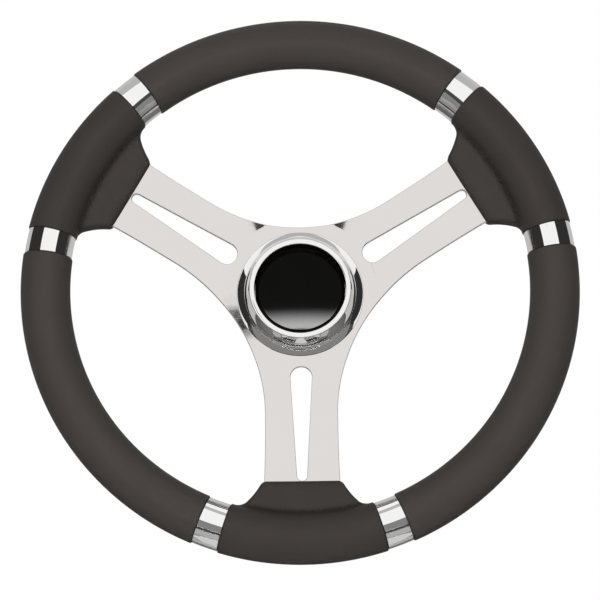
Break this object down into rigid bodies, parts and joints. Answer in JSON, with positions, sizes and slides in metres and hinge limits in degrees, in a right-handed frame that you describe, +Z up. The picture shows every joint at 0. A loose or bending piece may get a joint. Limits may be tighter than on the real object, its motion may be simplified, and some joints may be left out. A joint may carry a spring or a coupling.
{
  "type": "boat steering wheel",
  "caption": "Dished stainless boat steering wheel with slotted spokes, a segmented soft grip with bright sleeves, a flared hub bezel and a plain cap.",
  "frame": {"origin": "centre of the shaft bore's mouth, at the hub's rear face", "axes": "+Y along the shaft, away from the driver; +Z up, with one spoke pointing straight down; +X to the driver's right"},
  "size_m": [0.35, 0.0789, 0.35],
  "materials": {
    "polished_plate": "mirror polished stainless",
    "ring_steel": "plain bright bar",
    "soft_grip": "fine satin",
    "grained_grip": "satin with a fine leather grain on the web",
    "bright_sleeve": "bright polished",
    "bright_bezel": "mirror polished",
    "gloss_cap": "high gloss black",
    "hub_metal": "fine turned",
    "screw_steel": "plain"
  },
  "bodies": {
    "root": {"hub_boss": "hub_metal", "spoke_plate": "polished_plate", "hub_bezel": "bright_bezel", "hub_screws": "screw_steel", "centre_cap": "gloss_cap", "rim_ring": "ring_steel", "grip_top": "soft_grip", "grip_lower_left": "soft_grip", "grip_lower_right": "soft_grip", "spoke_grip_left": "grained_grip", "spoke_grip_right": "grained_grip", "spoke_grip_bottom": "grained_grip", "sleeve_top_left": "bright_sleeve", "sleeve_top_right": "bright_sleeve", "sleeve_left": "bright_sleeve", "sleeve_right": "bright_sleeve", "sleeve_bottom_left": "bright_sleeve", "sleeve_bottom_right": "bright_sleeve"}
  },
  "joints": []
}
